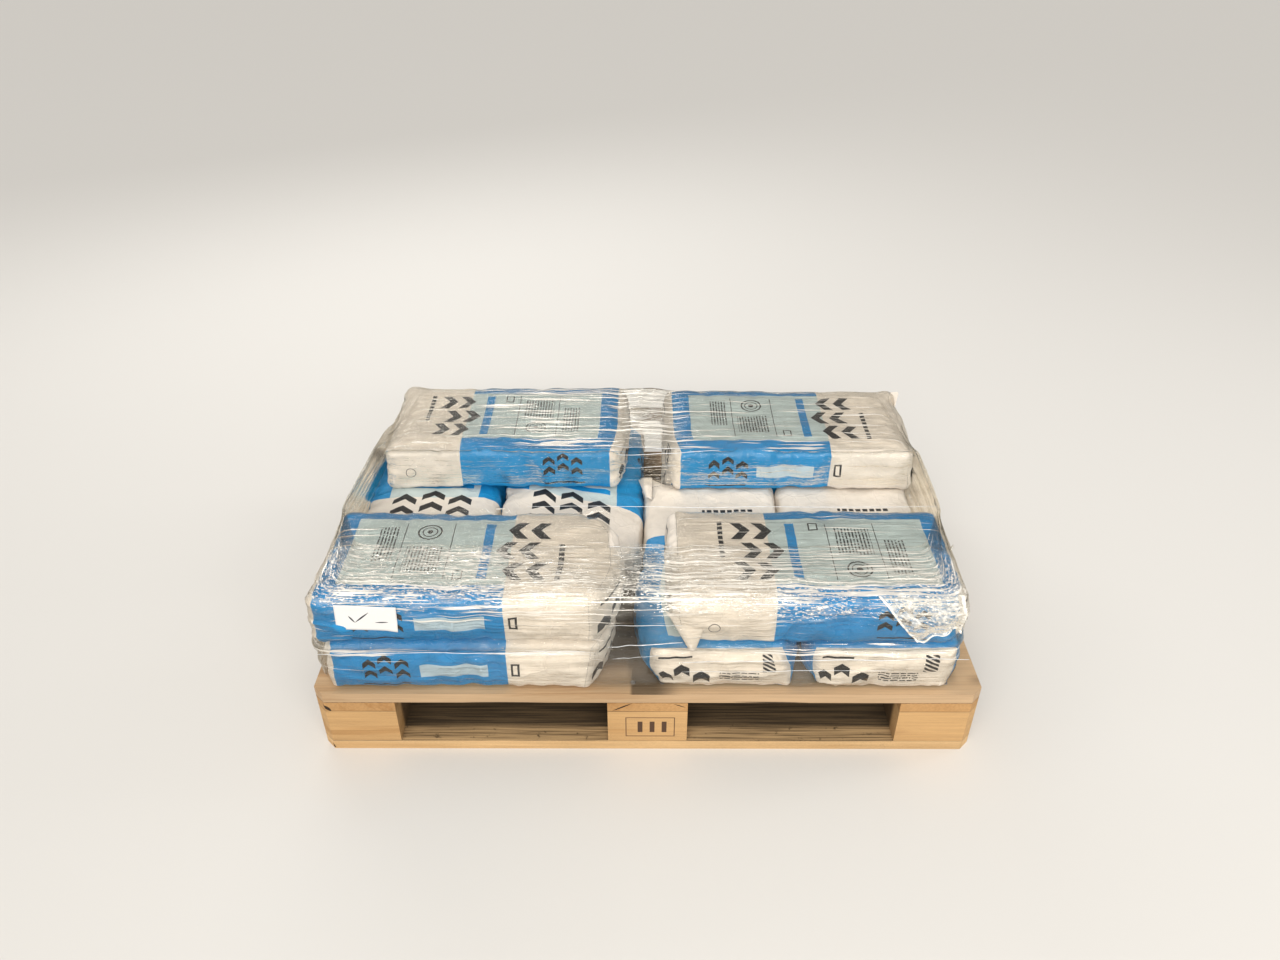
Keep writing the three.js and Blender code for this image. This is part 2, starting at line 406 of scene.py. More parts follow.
def sack_print_material():
    """The tube of the sack: a white end, blue sides, a pale panel with small print and bold chevrons."""
    graph = Graph("sack_paper_printed")
    u, v, _ = graph.separate(graph.flat_map("print"))
    across = abs(v)
    edge_u = (graph.noise(graph.place(), 240.0, detail=1.0) - 0.5) * 0.0012 + u
    blue = either(
        edge_u.inside(BLUE_FROM, WHITE_FROM) * (across > PANEL_HALF_WIDTH),
        edge_u.inside(BLUE_FROM, PANEL_FROM),
        box(u, across, CROSS_STRIPE, (-STRIPE_HALF_WIDTH, STRIPE_HALF_WIDTH)),
    )
    on_panel = edge_u.inside(PANEL_FROM, WHITE_FROM) * (across < PANEL_HALF_WIDTH)

    # the side towards -v has a pale window and a square mark, the other one a small ring
    near_side = v < 0.0
    window = box(u, across, (-0.078, 0.042), (0.172, 0.200)) * near_side
    side_mark = framed_box(u, across, (0.084, 0.100), (0.170, 0.198), 0.004) * near_side
    side_ring = rings(graph, u, across, (0.182, 0.197), (0.0095, 0.0108)) * (v > 0.0)
    side_motif = chevrons(across, u + 0.141, start=0.148, pitch=0.031, step=0.024, stroke=0.0115, rows=2)
    side_rule = box(u, across, (-0.190, -0.100), (0.2195, 0.2235))

    dividers = either(u.inside(-0.0335, -0.0320), u.inside(-0.1215, -0.1200)) * across.inside(-0.080, 0.080)
    columns = either(
        box(u, v, (-0.110, -0.046), (-0.062, 0.010)), box(u, v, (-0.168, -0.132), (-0.030, 0.066))
    )
    columns = columns * small_print(graph, v, u, 0.0062, 0.0040, 3.0)
    badge = rings(graph, u, v, (-0.076, 0.052), (0.0, 0.0055), (0.0125, 0.0145), (0.0195, 0.0225))
    mark = framed_box(u, v, (-0.018, 0.000), (-0.078, -0.056), 0.0025)
    motif = chevrons(u, v, start=0.050, pitch=0.058, step=0.040, stroke=0.019, rows=2)
    rule = box(u, v, (0.158, 0.167), (-0.088, 0.020)) * (v.wrap(0.014) < 0.010)
    seam = u.inside(*SEAM) * (v.wrap(0.0052) < 0.0030)
    dark = either(
        side_mark, side_ring, side_motif, side_rule, dividers, columns, badge, mark, motif, rule, seam
    )
    colour = graph.paint(
        WHITE_PAPER, (on_panel, PANEL_PAPER), (blue, PRINT_BLUE), (window, WINDOW_PAPER), (dark, PRINT_DARK)
    )
    return paper_material(graph, colour, either(blue, dark))


def sack_end_material():
    """The folded block end of the sack: white, with a few generic marks."""
    graph = Graph("sack_paper_end")
    u, v, _ = graph.separate(graph.flat_map("print"))
    motif = chevrons(v * -1.0, u + 0.074, start=-0.014, pitch=0.036, step=0.040, stroke=0.019, rows=1)
    lines = box(u, v, (-0.006, 0.066), (-0.030, -0.006)) * small_print(graph, u, v, 0.0058, 0.0042, 8.0)
    bars = box(u, v, (0.072, 0.100), (-0.006, 0.034)) * ((u * 0.5 + v).wrap(0.0095) < 0.0055)
    dark = either(motif, lines, bars, box(u, v, (-0.118, -0.054), (0.026, 0.0305)))
    return paper_material(graph, graph.paint(WHITE_PAPER, (dark, PRINT_DARK)), dark)


# Sacks

SACK_CELLS = (62, 32, 13)
SIMULATED_FRAMES = 18
SMOOTHING_PASSES = 14
PUCKER_CAP = 9 * MM
SIDEWAYS_SHARE = 0.12


@dataclass
class Sack:
    """A sack lies in the box of its node. The white end of its print faces one way.
    Corners are rounded in plan. Slants set an end back towards one side, by a depth that fades
    out over a reach. Pulls move what lies near one corner, in the sack's frame: the corner's
    signs, the move and its reach, in mm."""
    node: str
    white_end: str
    seed: int
    lean: float = 0.0
    corners: dict = field(default_factory=dict)
    slants: dict = field(default_factory=dict)
    pulls: tuple = ()
    print_shift: float = 0.0
    print_skew: float = 0.0
    rounding: tuple = (36, 30, 25)

    def __post_init__(self):
        self.low, self.high = (np.array(corner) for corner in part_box(self.node))
        size = self.high - self.low
        self.centre = (self.low + self.high) / 2
        self.turn = {"+x": 0, "+y": 1, "-x": 2, "-y": 3}[self.white_end]
        self.half_length, self.half_width = sorted(size[:2] / 2, reverse=True)
        self.height = size[2]
        self.is_low = "low" in self.node

    def to_world(self, points):
        """From the sack's own frame, white end towards +x and its base at height 0."""
        quarter = self.turn * math.pi / 2
        c, s = round(math.cos(quarter)), round(math.sin(quarter))
        x, y, z = points.T
        return stacked(c * x - s * y, s * x + c * y, z) + (self.centre[0], self.centre[1], self.low[2])


CRISP = (20, 18, 16)
FIRM = (27, 24, 22)
SACKS = [
    Sack("sack_low_front_left", "+x", 11, lean=0.016, print_shift=0.004, rounding=FIRM,
         slants={(1, -1): (0.036, 0.10), (-1, -1): (0.022, 0.12)}, pulls=(
             ((1, -1, 1), (10, 4, -4), 70), ((1, -0.3, -0.2), (15, 0, 0), 110),
         )),
    Sack("sack_low_front_right_inner", "+y", 12, print_shift=-0.016, rounding=CRISP, pulls=(
        ((-1, 1, -1), (0, -26, 14), 46), ((1, 1, 1), (4, 6, 16), 24), ((-1, -1, 1), (2, 32, 0), 52),
        ((-1, -1, -1), (2, 13, 2), 44), ((-1, 1, 1), (0, -9, 0), 40), ((-0.45, 1, 0.5), (0, 20, 0), 110),
    )),
    Sack("sack_low_front_right_outer", "+y", 13, print_shift=-0.016, rounding=CRISP, pulls=(
        ((-1, 1, -1), (0, -22, 12), 44), ((-1, -1, -1), (2, 19, 3), 44), ((-1, 1, 1), (0, -12, 0), 44),
        ((-1, -1, 1), (2, 12, 0), 44),
    )),
    Sack("sack_low_rear_left_outer", "-y", 14, pulls=(((1, -1, 1), (-14, 10, -2), 60),)),
    Sack("sack_low_rear_left_inner", "-y", 15, print_skew=0.34, pulls=(
        ((1, 1, 1), (-6, -18, -8), 60), ((1, -1, 1), (-16, 12, -2), 64),
    )),
    Sack("sack_low_rear_right", "+x", 16),
    Sack("sack_top_front_left", "+x", 17, rounding=FIRM, corners={(1, 1): (0.10, 0.08)},
         slants={(1, -1): (0.036, 0.10)}, pulls=(((1, -0.3, 0.2), (17, 0, 0), 110),)),
    Sack("sack_top_front_right", "-x", 18, rounding=FIRM, corners={(-1, 1): (0.05, 0.06)}, pulls=(
        ((1, 1, -1), (-18, 0, 20), 46),
    )),
    Sack("sack_top_rear_left", "-x", 19, print_shift=0.018, rounding=FIRM, slants={(-1, 1): (0.020, 0.10)},
         pulls=(((1, -1, 1), (6, -3, 4), 26),)),
    Sack("sack_top_rear_right", "+x", 20, print_shift=0.007, rounding=FIRM, slants={(-1, -1): (0.018, 0.09)},
         pulls=(((1, 1, 1), (10, -6, 8), 26),)),
]

# The box's two axes along a pair of sides, the axis across, and each side with its end of that axis
BOX_SIDES = (
    (0, 1, 2, (("top", 1), ("bottom", 0))),
    (0, 2, 1, (("front", 0), ("rear", 1))),
    (1, 2, 0, (("end", 1), ("end", 0))),
)


def grid_box(cells):
    """A box of square cells: its corner points from -1 to 1, its faces, and for each face
    corner its side and its point."""
    numbers, faces, sides, corner_keys = {}, [], [], []
    for first, second, third, pair in BOX_SIDES:
        for i, j in itertools.product(range(cells[first]), range(cells[second])):
            square = [(i, j), (i + 1, j), (i + 1, j + 1), (i, j + 1)]
            for (side, end), corners in zip(pair, (square, square[::-1])):
                keys = []
                for a, b in corners:
                    at = {first: a, second: b, third: end * cells[third]}
                    keys.append((at[0], at[1], at[2]))
                faces.append([numbers.setdefault(key, len(numbers)) for key in keys])
                sides += [side] * 4
                corner_keys += keys
    points, corners = (2 * np.array(keys) / cells - 1 for keys in (list(numbers), corner_keys))
    return points, faces, np.array(sides), corners


GRID_POINTS, GRID_FACES, GRID_SIDES, GRID_CORNERS = grid_box(SACK_CELLS)


def print_places(sack):
    """Where each face corner lies in the print, in metres."""
    length, width, tall = sack.half_length, sack.half_width, sack.height
    along, across, up = GRID_CORNERS.T
    on_end = GRID_SIDES == "end"
    drop = width + (1 - up) / 2 * tall
    under = np.copysign(2 * width + tall - np.abs(across) * width, across)
    on_side = [GRID_SIDES == side for side in ("top", "bottom", "front", "rear")]
    v = np.select(on_side, [across * width, under, -drop, drop], up * tall / 2)
    u = np.where(on_end, across * width * np.sign(along), along * length)
    return stacked(u - np.where(on_end, 0, sack.print_shift + sack.print_skew * v), v)


def rounded(points, half, rounding):
    """A box whose edges and corners are rounded by its own radius along each axis."""
    past = np.maximum(np.abs(points) - (half - rounding), 0) / rounding
    far = past.max(axis=1, keepdims=True)
    shrink = far / np.maximum(np.linalg.norm(past, axis=1, keepdims=True), 1e-9)
    inner = np.minimum(np.abs(points), half - rounding)
    return np.sign(points) * (inner + past * shrink * rounding)


def round_corner(form, sack, signs, radii):
    """Rounds one corner in plan by an elliptical arc."""
    inner = np.array((sack.half_length, sack.half_width)) - radii
    past = (form[:, :2] * signs - inner) / radii
    there = (past > 0).all(axis=1)
    past = past[there]
    shrink = past.max(axis=1) / np.maximum(np.hypot(*past.T), 1e-9)
    form[there, :2] = signs * (inner + past * shrink[:, None] * radii)


def sack_form(sack, unit):
    """The filled sack's smooth form on its flat base. Its top is a little crowned."""
    half = np.array([sack.half_length, sack.half_width, sack.height / 2])
    squarer = 1 - 0.45 * smooth_step(-unit[:, 2:], -0.4, 0.8)
    form = rounded(unit * half, half, np.array(sack.rounding) * MM * squarer)
    form[:, 2] += sack.height / 2
    share = form[:, 2] / sack.height
    toward_end = np.clip(form[:, 0] / sack.half_length, 0, 1)
    form[:, 0] += sack.lean * toward_end ** 3 * (share - 1)
    for (end, side), (depth, reach) in sack.slants.items():
        from_side = np.clip((sack.half_width - form[:, 1] * side) / reach, 0, 1)
        outward = np.clip(form[:, 0] * end / sack.half_length, 0, 1)
        form[:, 0] -= end * depth * (1 - from_side) ** 1.6 * outward ** 3
    for signs, radii in sack.corners.items():
        round_corner(form, sack, np.array(signs), np.array(radii))
    for signs, move, reach in sack.pulls:
        corner = np.array(signs) * half + (0, 0, sack.height / 2)
        near = np.exp(-np.sum((form - corner) ** 2, axis=1) / (reach * MM) ** 2)
        form += near[:, None] * np.array(move) * MM
    return form


def new_sack_mesh(sack, materials):
    points = sack.to_world(sack_form(sack, GRID_POINTS))
    points += np.random.default_rng(sack.seed).normal(0, 0.4 * MM, points.shape)
    thing = mesh_object(sack.node + "_filled", points, GRID_FACES, materials)
    thing.data.polygons.foreach_set("material_index", (GRID_SIDES[::4] == "end").astype(np.int32))
    set_map(thing, "print", print_places(sack))
    return thing


def add_cloth(thing):
    """Paper that has a little more surface than the filling needs, so that it puckers."""
    cloth = thing.modifiers.new("cloth", "CLOTH")
    set_all(
        cloth.settings, quality=6, mass=0.15, shrink_min=-0.035, air_damping=3,
        use_pressure=True, uniform_pressure_force=6.0,
        tension_stiffness=40, compression_stiffness=40, shear_stiffness=20, bending_stiffness=4.0,
        tension_damping=10, compression_damping=10, shear_damping=10, bending_damping=1,
    )
    cloth.settings.effector_weights.gravity = 0
    cloth.collision_settings.use_collision = False


def neighbours_mean(values, edges, count):
    total = np.zeros_like(values)
    np.add.at(total, edges[:, 0], values[edges[:, 1]])
    np.add.at(total, edges[:, 1], values[edges[:, 0]])
    return total / count[:, None]


def keep_puckers(before, after, normals, edges):
    """The wrinkles of a simulation without its swelling, each point moved no more than a cap.
    They stand out from the surface more than they pull the print sideways."""
    count = np.bincount(edges.ravel(), minlength=len(before)).astype(float)
    move = after - before
    broad = move
    for _ in range(SMOOTHING_PASSES):
        broad = 0.4 * broad + 0.6 * neighbours_mean(broad, edges, count)
    fine = move - broad
    outward = (fine * normals).sum(axis=1, keepdims=True) * normals
    fine = outward + (fine - outward) * SIDEWAYS_SHARE
    length = np.linalg.norm(fine, axis=1, keepdims=True)
    return before + fine * np.tanh(length / PUCKER_CAP) * PUCKER_CAP / np.maximum(length, 1e-9)


def simulate_paper(things):
    """All the sacks pucker at once. Each then keeps its wrinkles and no Cloth."""
    before = [points_of(thing.data) for thing in things]
    normals = [normals_of(thing.data) for thing in things]
    for thing in things:
        add_cloth(thing)
    scene = bpy.context.scene
    scene.frame_start, scene.frame_end = 1, SIMULATED_FRAMES + 2
    for number in range(1, SIMULATED_FRAMES + 1):
        scene.frame_set(number)
    graph = bpy.context.evaluated_depsgraph_get()
    for thing, start, outward in zip(things, before, normals):
        after = points_of(thing.evaluated_get(graph).data)
        thing.modifiers.clear()
        edges = read_rows(thing.data.edges, "vertices", 2, np.int32)
        set_points(thing.data, keep_puckers(start, after, outward, edges))
    scene.frame_set(1)


def subdivide(thing):
    """Replaces the mesh by its subdivided one."""
    modifier = thing.modifiers.new("subdivision", "SUBSURF")
    modifier.levels = modifier.render_levels = 1
    bpy.context.view_layer.update()
    evaluated = thing.evaluated_get(bpy.context.evaluated_depsgraph_get())
    finer = bpy.data.meshes.new_from_object(evaluated)
    thing.modifiers.clear()
    coarse = thing.data
    thing.data = finer
    bpy.data.meshes.remove(coarse)


def crumple(sack, thing):
    """Creases finer than the simulation's, and the long ones that the tight film presses in."""
    points, normals = points_of(thing.data), normals_of(thing.data)
    lengthwise = (points - sack.centre)[:, sack.turn % 2]
    upright = 1 - np.abs(normals[:, 2])
    near_end = smooth_step(np.abs(lengthwise), 0.1, sack.half_length)
    height = 1.6 * creases(points / 0.055, sack.seed) - 1.6
    height += 1.0 * creases(points / 0.023, sack.seed + 40) * (0.5 + near_end)
    height += 0.5 * layered_noise(points / 0.016, sack.seed + 80)
    height += 2.5 * noise(points / 0.11, sack.seed + 120)
    stretched = points / np.array([0.15, 0.15, 0.017])
    height += 3.6 * upright * (0.25 + near_end) * creases(stretched, sack.seed + 160)
    points += normals * height[:, None] * MM
    room = covered_room(points) if sack.is_low else 3 * MM
    points[:, 2] = np.minimum(np.maximum(points[:, 2], sack.low[2]), sack.high[2] + room)
    set_points(thing.data, points)


def covered_room(points):
    """How far a lower sack may rise: nothing under an upper sack, a little elsewhere."""
    free_room = 20 * MM
    room = np.full(len(points), free_room)
    for sack in SACKS:
        if not sack.is_low:
            inside = np.minimum(points[:, :2] - sack.low[:2], sack.high[:2] - points[:, :2]).min(axis=1)
            room = np.minimum(room, free_room * (1 - smooth_step(inside, -0.004, 0.012)))
    return room


# Folded ears that stand off their sack: its node, the top edge, the tip edge and the bulge, in mm
FLAPS = [
    ("sack_top_front_right", ((30, -377, 322), (96, -386, 288)), ((72, -390, 243), (82, -390, 242)), 5),
    ("sack_low_front_right_inner", ((-18, 122, 250), (12, 112, 262)), ((-2, 52, 251), (10, 46, 252)), 8),
    ("sack_top_rear_right", ((528, 350, 334), (560, 296, 332)), ((571, 331, 351), (573, 327, 349)), 2),
]
FLAP_CELLS = 14
PLAIN_PRINT_AT = 0.215


def add_flap(thing, top, tip, bulge):
    """A folded ear of paper as part of the sack: two layers between a top edge and a tip edge."""
    surface, down, over = patch((*top, *tip), FLAP_CELLS, FLAP_CELLS)
    top, tip = np.array(top, float), np.array(tip, float)
    out = np.cross(tip.mean(axis=0) - top.mean(axis=0), top[1] - top[0])
    out /= np.linalg.norm(out)
    rise = bulge * np.sin(math.pi * over) * np.sin(math.pi * (0.15 + 0.7 * down))
    rise = (rise + 1.2 * creases(surface / 19, 71))[..., None]
    form = bmesh.new()
    form.from_mesh(thing.data)
    uv = form.loops.layers.uv["print"]
    layers = [surface + out * (rise + lift) for lift in (0.6, -0.6)]
    front, back = [[[form.verts.new(Vector(spot * MM)) for spot in row] for row in layer] for layer in layers]
    squares = []
    for a, b, c, d in grid_squares(FLAP_CELLS + 1, FLAP_CELLS + 1):
        squares.append([front[row][column] for row, column in (a, d, c, b)])
        squares.append([back[row][column] for row, column in (b, c, d, a)])
    there, again = range(FLAP_CELLS), range(FLAP_CELLS, 0, -1)
    rim = [(0, j) for j in there] + [(i, FLAP_CELLS) for i in there]
    rim += [(FLAP_CELLS, j) for j in again] + [(i, 0) for i in again]
    for (a, b), (c, d) in zip(rim, rim[1:] + rim[:1]):
        squares.append([front[a][b], front[c][d], back[c][d], back[a][b]])
    for square in squares:
        face = form.faces.new(square)
        face.smooth = True
        for loop in face.loops:
            loop[uv].uv = (PLAIN_PRINT_AT, 0.04 + loop.vert.co.z * 0.2)
    form.to_mesh(thing.data)
    form.free()


def add_sacks():
    materials = [sack_print_material(), sack_end_material()]
    things = [new_sack_mesh(sack, materials) for sack in SACKS]
    simulate_paper(things)
    for sack, thing in zip(SACKS, things):
        subdivide(thing)
        crumple(sack, thing)
        for node, top, tip, bulge in FLAPS:
            if node == sack.node:
                add_flap(thing, top, tip, bulge)
        finish_piece(thing, "sack_paper", sack.node)
    return things


# Stretch film

# The film's corners in plan, in mm: on the low loop, on the top one and at the free edge over the
# load, then how much of the inset moves them and whether the film bends round them
FILM_CORNERS = [
    ((-589.9, -393.6), (-583.8, -383.8), (-525, -237), 1, True),
    ((556.4, -390.6), (556.4, -387), (498, -237), 1, True),
    ((558.6, -125), (559.4, -125), (549.4, -125), 0.2, False),
    ((560.3, 88), (561.9, 88), (551.9, 88), 0.2, False),
    ((562.8, 398.8), (565, 353.4), (506, 92), 1, True),
    ((0, 398.8), (-60, 367), (-60, 92), 1, False),
    ((-590.8, 398.6), (-553, 367), (-495, 92), 1, True),
    ((-590.8, 88), (-569.4, 88), (-559.4, 88), 0.2, False),
    ((-590.7, -125), (-584, -125), (-574, -125), 0.2, False),
]
RIM_INSET = 45
COVER_WIDTH = 150
# Inset from the loop and height, both in mm, and the share from the low loop (0) over the top one (1)
# to the free edge (2)
FILM_PROFILE = [
    (5, 155, 0), (0, 172, 0), (0, 228, 0), (0, 288, 1), (0, 318, 1),
    (5, 339.2, 1), (20, 349.4, 1), (RIM_INSET, 351.7, 1), (0, 351.8, 2),
]
FILM_CORNER_RADIUS = 46
FILM_CORNER_STEPS = 10
FILM_STEP_ALONG = 8.0
FILM_STEP_ACROSS = 2.4
FILM_START_OUT = 14 * MM
FILM_REACH = 30 * MM


def film_loop(inset, height, blend):
    """The film in plan at one height, counter-clockwise from the front left, in mm."""
    at_free_edge = blend > 1
    corners = []
    for low, top, free, rim, is_round in FILM_CORNERS:
        low, top, free = np.array((low, top, free), float)
        at = low + (top - low) * blend
        on_rear = not is_round and at[1] > 200
        step = inset * rim * np.array([not on_rear, on_rear or is_round])
        corners.append(free if at_free_edge else at - np.sign(at) * step)
    radius = FILM_CORNER_RADIUS / 2 if at_free_edge else FILM_CORNER_RADIUS - inset / 2
    loop = []
    for index, corner in enumerate(corners):
        if not FILM_CORNERS[index][4]:
            loop.append(corner)
            continue
        before, after = corners[index - 1] - corner, corners[(index + 1) % len(corners)] - corner
        start = corner + before / np.linalg.norm(before) * radius
        end = corner + after / np.linalg.norm(after) * radius
        for t in np.linspace(0, 1, FILM_CORNER_STEPS + 1):
            loop.append((1 - t) ** 2 * start + 2 * t * (1 - t) * corner + t * t * end)
    return np.array([(x, y, height) for x, y in loop])


def film_row(inset, height, blend):
    """Corner values of a row. On the cover they run from the inset rim to the free edge."""
    if blend > 1:
        rim, free = film_loop(RIM_INSET, height, 1), film_loop(0, height, 2)
        return rim + (free - rim) * (blend - 1)
    return film_loop(inset, height, blend)


def film_rows():
    """The profile at closely spaced places: inset, height and blend of each row."""
    rows = []
    for here, following in itertools.pairwise(np.array(FILM_PROFILE, float)):
        way = following - here
        long = COVER_WIDTH if following[2] == 2 else math.hypot(way[0], way[1])
        count = max(round(long / FILM_STEP_ACROSS), 1)
        rows += [here + way * (step / count) for step in range(count)]
    return [*rows, FILM_PROFILE[-1]]


def film_surface():
    """The film's base surface as rows of points in metres, and each column's place around it."""
    rows = np.array([film_row(*row) for row in film_rows()])
    reference = rows[len(rows) // 3]
    steps = np.linalg.norm(np.roll(reference, -1, axis=0) - reference, axis=1)
    columns, around, total = [], [], 0
    for index, long in enumerate(steps):
        count = max(round(long / FILM_STEP_ALONG), 1)
        here, following = rows[:, index], rows[:, (index + 1) % len(steps)]
        for step in range(count):
            t = step / count
            columns.append(here * (1 - t) + following * t)
            around.append(total + long * t)
        total += long
    return np.stack(columns, axis=1) * MM, np.array(around) * MM


def grid_normals(surface):
    along = np.roll(surface, -1, axis=1) - np.roll(surface, 1, axis=1)
    normals = np.cross(along, np.gradient(surface, axis=0))
    return normals / np.maximum(np.linalg.norm(normals, axis=2, keepdims=True), 1e-12)


def blur(grid, times=1, around="wrap"):
    """A soft blur. Round the load the last column joins the first; an open sheet ends in an edge."""
    for _ in range(times):
        for axis, mode in ((1, around), (0, "edge")):
            padded = np.pad(np.moveaxis(grid, axis, 0), ((1, 1), (0, 0)), mode=mode)
            grid = np.moveaxis((padded[:-2] + padded[1:-1] * 2 + padded[2:]) / 4, 0, axis)
    return grid


def sack_tree(things):
    vertices, polygons = [], []
    for thing in things:
        base = len(vertices)
        vertices += [Vector(point) for point in points_of(thing.data)]
        polygons += [[base + index for index in face.vertices] for face in thing.data.polygons]
    return BVHTree.FromPolygons(vertices, polygons)


def depths(tree, surface, ways, start_out, reach):
    """How far each point lies from the sacks, along its way from a start outside them.
    It isn't a number where there is no sack."""
    depth = np.full(surface.shape[:2], np.nan)
    for spot in np.ndindex(depth.shape):
        way = Vector(ways[spot])
        hit = tree.ray_cast(Vector(surface[spot]) - way * start_out, way, reach)
        if hit[0] is not None:
            depth[spot] = hit[3] - start_out
    return depth


def bell(value, centre, width):
    return np.exp(-((value - centre) / width) ** 2)


def film_zones(surface, held):
    """Where the film gets its painted highlights, white crinkles where it glints and white threads where it
    is taut, and where its turns lie milky over one another.
    """
    x, y, z = surface[..., 0], surface[..., 1], surface[..., 2]
    front = smooth_step(-y, 0.15, 0.28)
    cover = smooth_step(z, 0.335, 0.349)
    front_edge = bell(z, 0.338, 0.022) * smooth_step(-y, 0.30, 0.36)
    left_half, right_half = 1 - smooth_step(x, -0.11, -0.07), smooth_step(x, -0.03, 0.05)
    front_gap = bell(x, -0.018, 0.045) * front * smooth_step(z, 0.22, 0.26)
    rear_gap = bell(x, -0.002, 0.05) * smooth_step(y, 0.10, 0.2)
    over_gap = 1 - 0.60 * bell(x, -0.016, 0.036) * front * (1 - 0.6 * cover)
    corner = bell(x, 0.545, 0.055) * bell(y, -0.37, 0.09) * smooth_step(z, 0.24, 0.30)
    at_corner = bell(np.abs(x), 0.56, 0.05) * smooth_step(z, 0.30, 0.34)
    at_end = smooth_step(np.abs(x), 0.50, 0.555) * (1 - smooth_step(np.abs(y), 0.30, 0.36))
    around = layered_noise(stacked(x / 0.13, y / 0.13, z / 0.05), 330)

    # glint and taut place the painted highlights, partly also the milky white of bunched film
    glint = 0.10 + 0.10 * cover + 0.40 * cover * front
    glint += front_edge * (0.40 + 0.46 * right_half) + 0.22 * front_gap + 0.75 * corner
    glint += 0.42 * bell(z, 0.318, 0.022) * bell(x, 0.25, 0.15) * front
    glint += 0.40 * rear_gap + 0.30 * bell(z, 0.246, 0.007) * front + 0.10 * (1 - held)
    glint *= 1 + 0.55 * around
    glint += 0.34 * bell(z, 0.330, 0.018) * front * left_half + 0.32 * cover * front * left_half
    glint *= over_gap

    taut = 0.34 + 0.24 * cover + 0.22 * cover * front + 0.40 * bell(z, 0.238, 0.010) * front
    taut += 0.10 * front_gap + 0.50 * bell(z, 0.234, 0.008) * front * left_half + 0.40 * rear_gap
    taut += bell(z, 0.325, 0.022) * front * (0.30 + 0.65 * left_half) + 0.25 * bell(z, 0.342, 0.012)
    taut *= 1 + 0.45 * layered_noise(stacked(x / 0.21, y / 0.21, z / 0.04), 334)
    taut *= 1 - 0.7 * at_corner * (1 - corner)
    taut = taut * over_gap + 0.24 * at_end

    haze_and_highlight = 0.03 + 0.05 * cover * front + 0.20 * (1 - held) * (1 - front_gap) + 0.08 * around
    haze_and_highlight += 0.30 * at_end * (1 - held)
    return {name: np.clip(zone, 0, 1) for name, zone in (("glint", glint), ("taut", taut), ("haze_and_highlight", haze_and_highlight))}


def film_wrinkles(surface, around, held, glint):
    """Heights of the film's folds: long taut ones, and short ones where it glints. Also the crumple ridges
    that get painted highlights.
    """
    rows, along = np.meshgrid(np.arange(len(surface)) * FILM_STEP_ACROSS * MM, around, indexing="ij")
    free = 1 - blur(held, 4)
    long_folds = creases(stacked(along / 0.33, rows / 0.016, 0), 301)
    thin_folds = creases(stacked(along / 0.16, rows / 0.0075, 0), 304)
    short_folds = creases(stacked(along / 0.045, rows / 0.0080, 0), 302)
    waves = noise(stacked(along / 0.12, rows / 0.03, 0), 303)
    ridges = np.clip(glint - 0.25, 0, 1) * short_folds ** 2
    height = (0.8 + 1.8 * free) * long_folds + 0.7 * thin_folds
    height += (0.2 + 2.0 * glint) * short_folds + 1.6 * free * waves
    return height * MM, ridges, along, rows


def sheet_mesh(name, material, surface, along, rows, zones, closed=False, map_name="wrap"):
    """A surface of rows and columns, with its flat place as a map and its zones as attributes."""
    count = surface.shape[1]
    faces, spots = [], []
    whole = along[0, -1] + FILM_STEP_ALONG * MM
    for square in grid_squares(len(surface), count, closed):
        faces.append([row * count + column for row, column in square])
        for corner in square:
            wraps = corner[1] == 0 and square[0][1] > 0
            spots.append((whole if wraps else along[corner], rows[corner]))
    thing = mesh_object(name, surface.reshape(-1, 3), faces, [material])
    set_map(thing, map_name, spots)
    for label, values in zones.items():
        attribute = thing.data.attributes.new(label, "FLOAT", "POINT")
        attribute.data.foreach_set("value", values.astype(np.float32).ravel())
    return thing


def add_film(tree, material):
    """The wrap: it clings to the sacks, lies flat under the label and is folded elsewhere."""
    surface, around = film_surface()
    normals = grid_normals(surface)
    depth = depths(tree, surface, -normals, FILM_START_OUT, FILM_REACH)
    held = np.where(np.isnan(depth), 0.0, 1.0)
    offset = -np.nan_to_num(depth)
    soft = blur(np.clip(offset, -6 * MM, 8 * MM), 5)
    lift = np.where(held > 0, np.maximum(soft, offset + 0.7 * MM), soft)
    surface = surface + normals * np.clip(blur(lift), -8 * MM, 10 * MM)[..., None]
    zones = film_zones(surface, held)
    height, ridges, along, rows = film_wrinkles(surface, around, held, zones["glint"])
    # painted highlights on the crumple ridges, in the same white share as the milky turns
    zones["haze_and_highlight"] += 2.2 * ridges
    low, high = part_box("paper_label")
    margin = 8 * MM
    under_label = surface[..., 1] < 0
    for axis in (0, 2):
        place = surface[..., axis]
        under_label = under_label * smooth_step(place, low[axis] - margin, low[axis])
        under_label = under_label * (1 - smooth_step(place, high[axis], high[axis] + margin))
    height = (height + 0.3 * MM) * (1 - under_label)
    surface = surface + grid_normals(surface) * height[..., None]
    room = low[1] - surface[..., 1] + 0.6 * MM
    surface[..., 1] += under_label * np.maximum(room, 0)
    thing = sheet_mesh("stretch_film_wrap", material, surface, along, rows, zones, closed=True)
    finish_piece(thing, "stretch_film", "stretch_film")


# Turns of film that lie on sacks beyond the folded-over rim: a corner, two edges from it, and the way
# to the sacks, all in mm
LOOSE_TURNS = {
    "stretch_film_turn_left": ((-578, -240, 356), (508, 0, 0), (0, 118, 0), (0, 0, -1)),
    "stretch_film_turn_right": ((52, -240, 356), (500, 0, 0), (0, 122, 0), (0, 0, -1)),
    "stretch_film_turn_rear": ((-545, 74, 348), (1100, 0, 0), (0, 0, -84), (0, 1, 0)),
}
LOOSE_TURN_CELL = (2.6, 7.0)
LOOSE_TURN_START_OUT = 20 * MM
LOOSE_TURN_REACH = 50 * MM


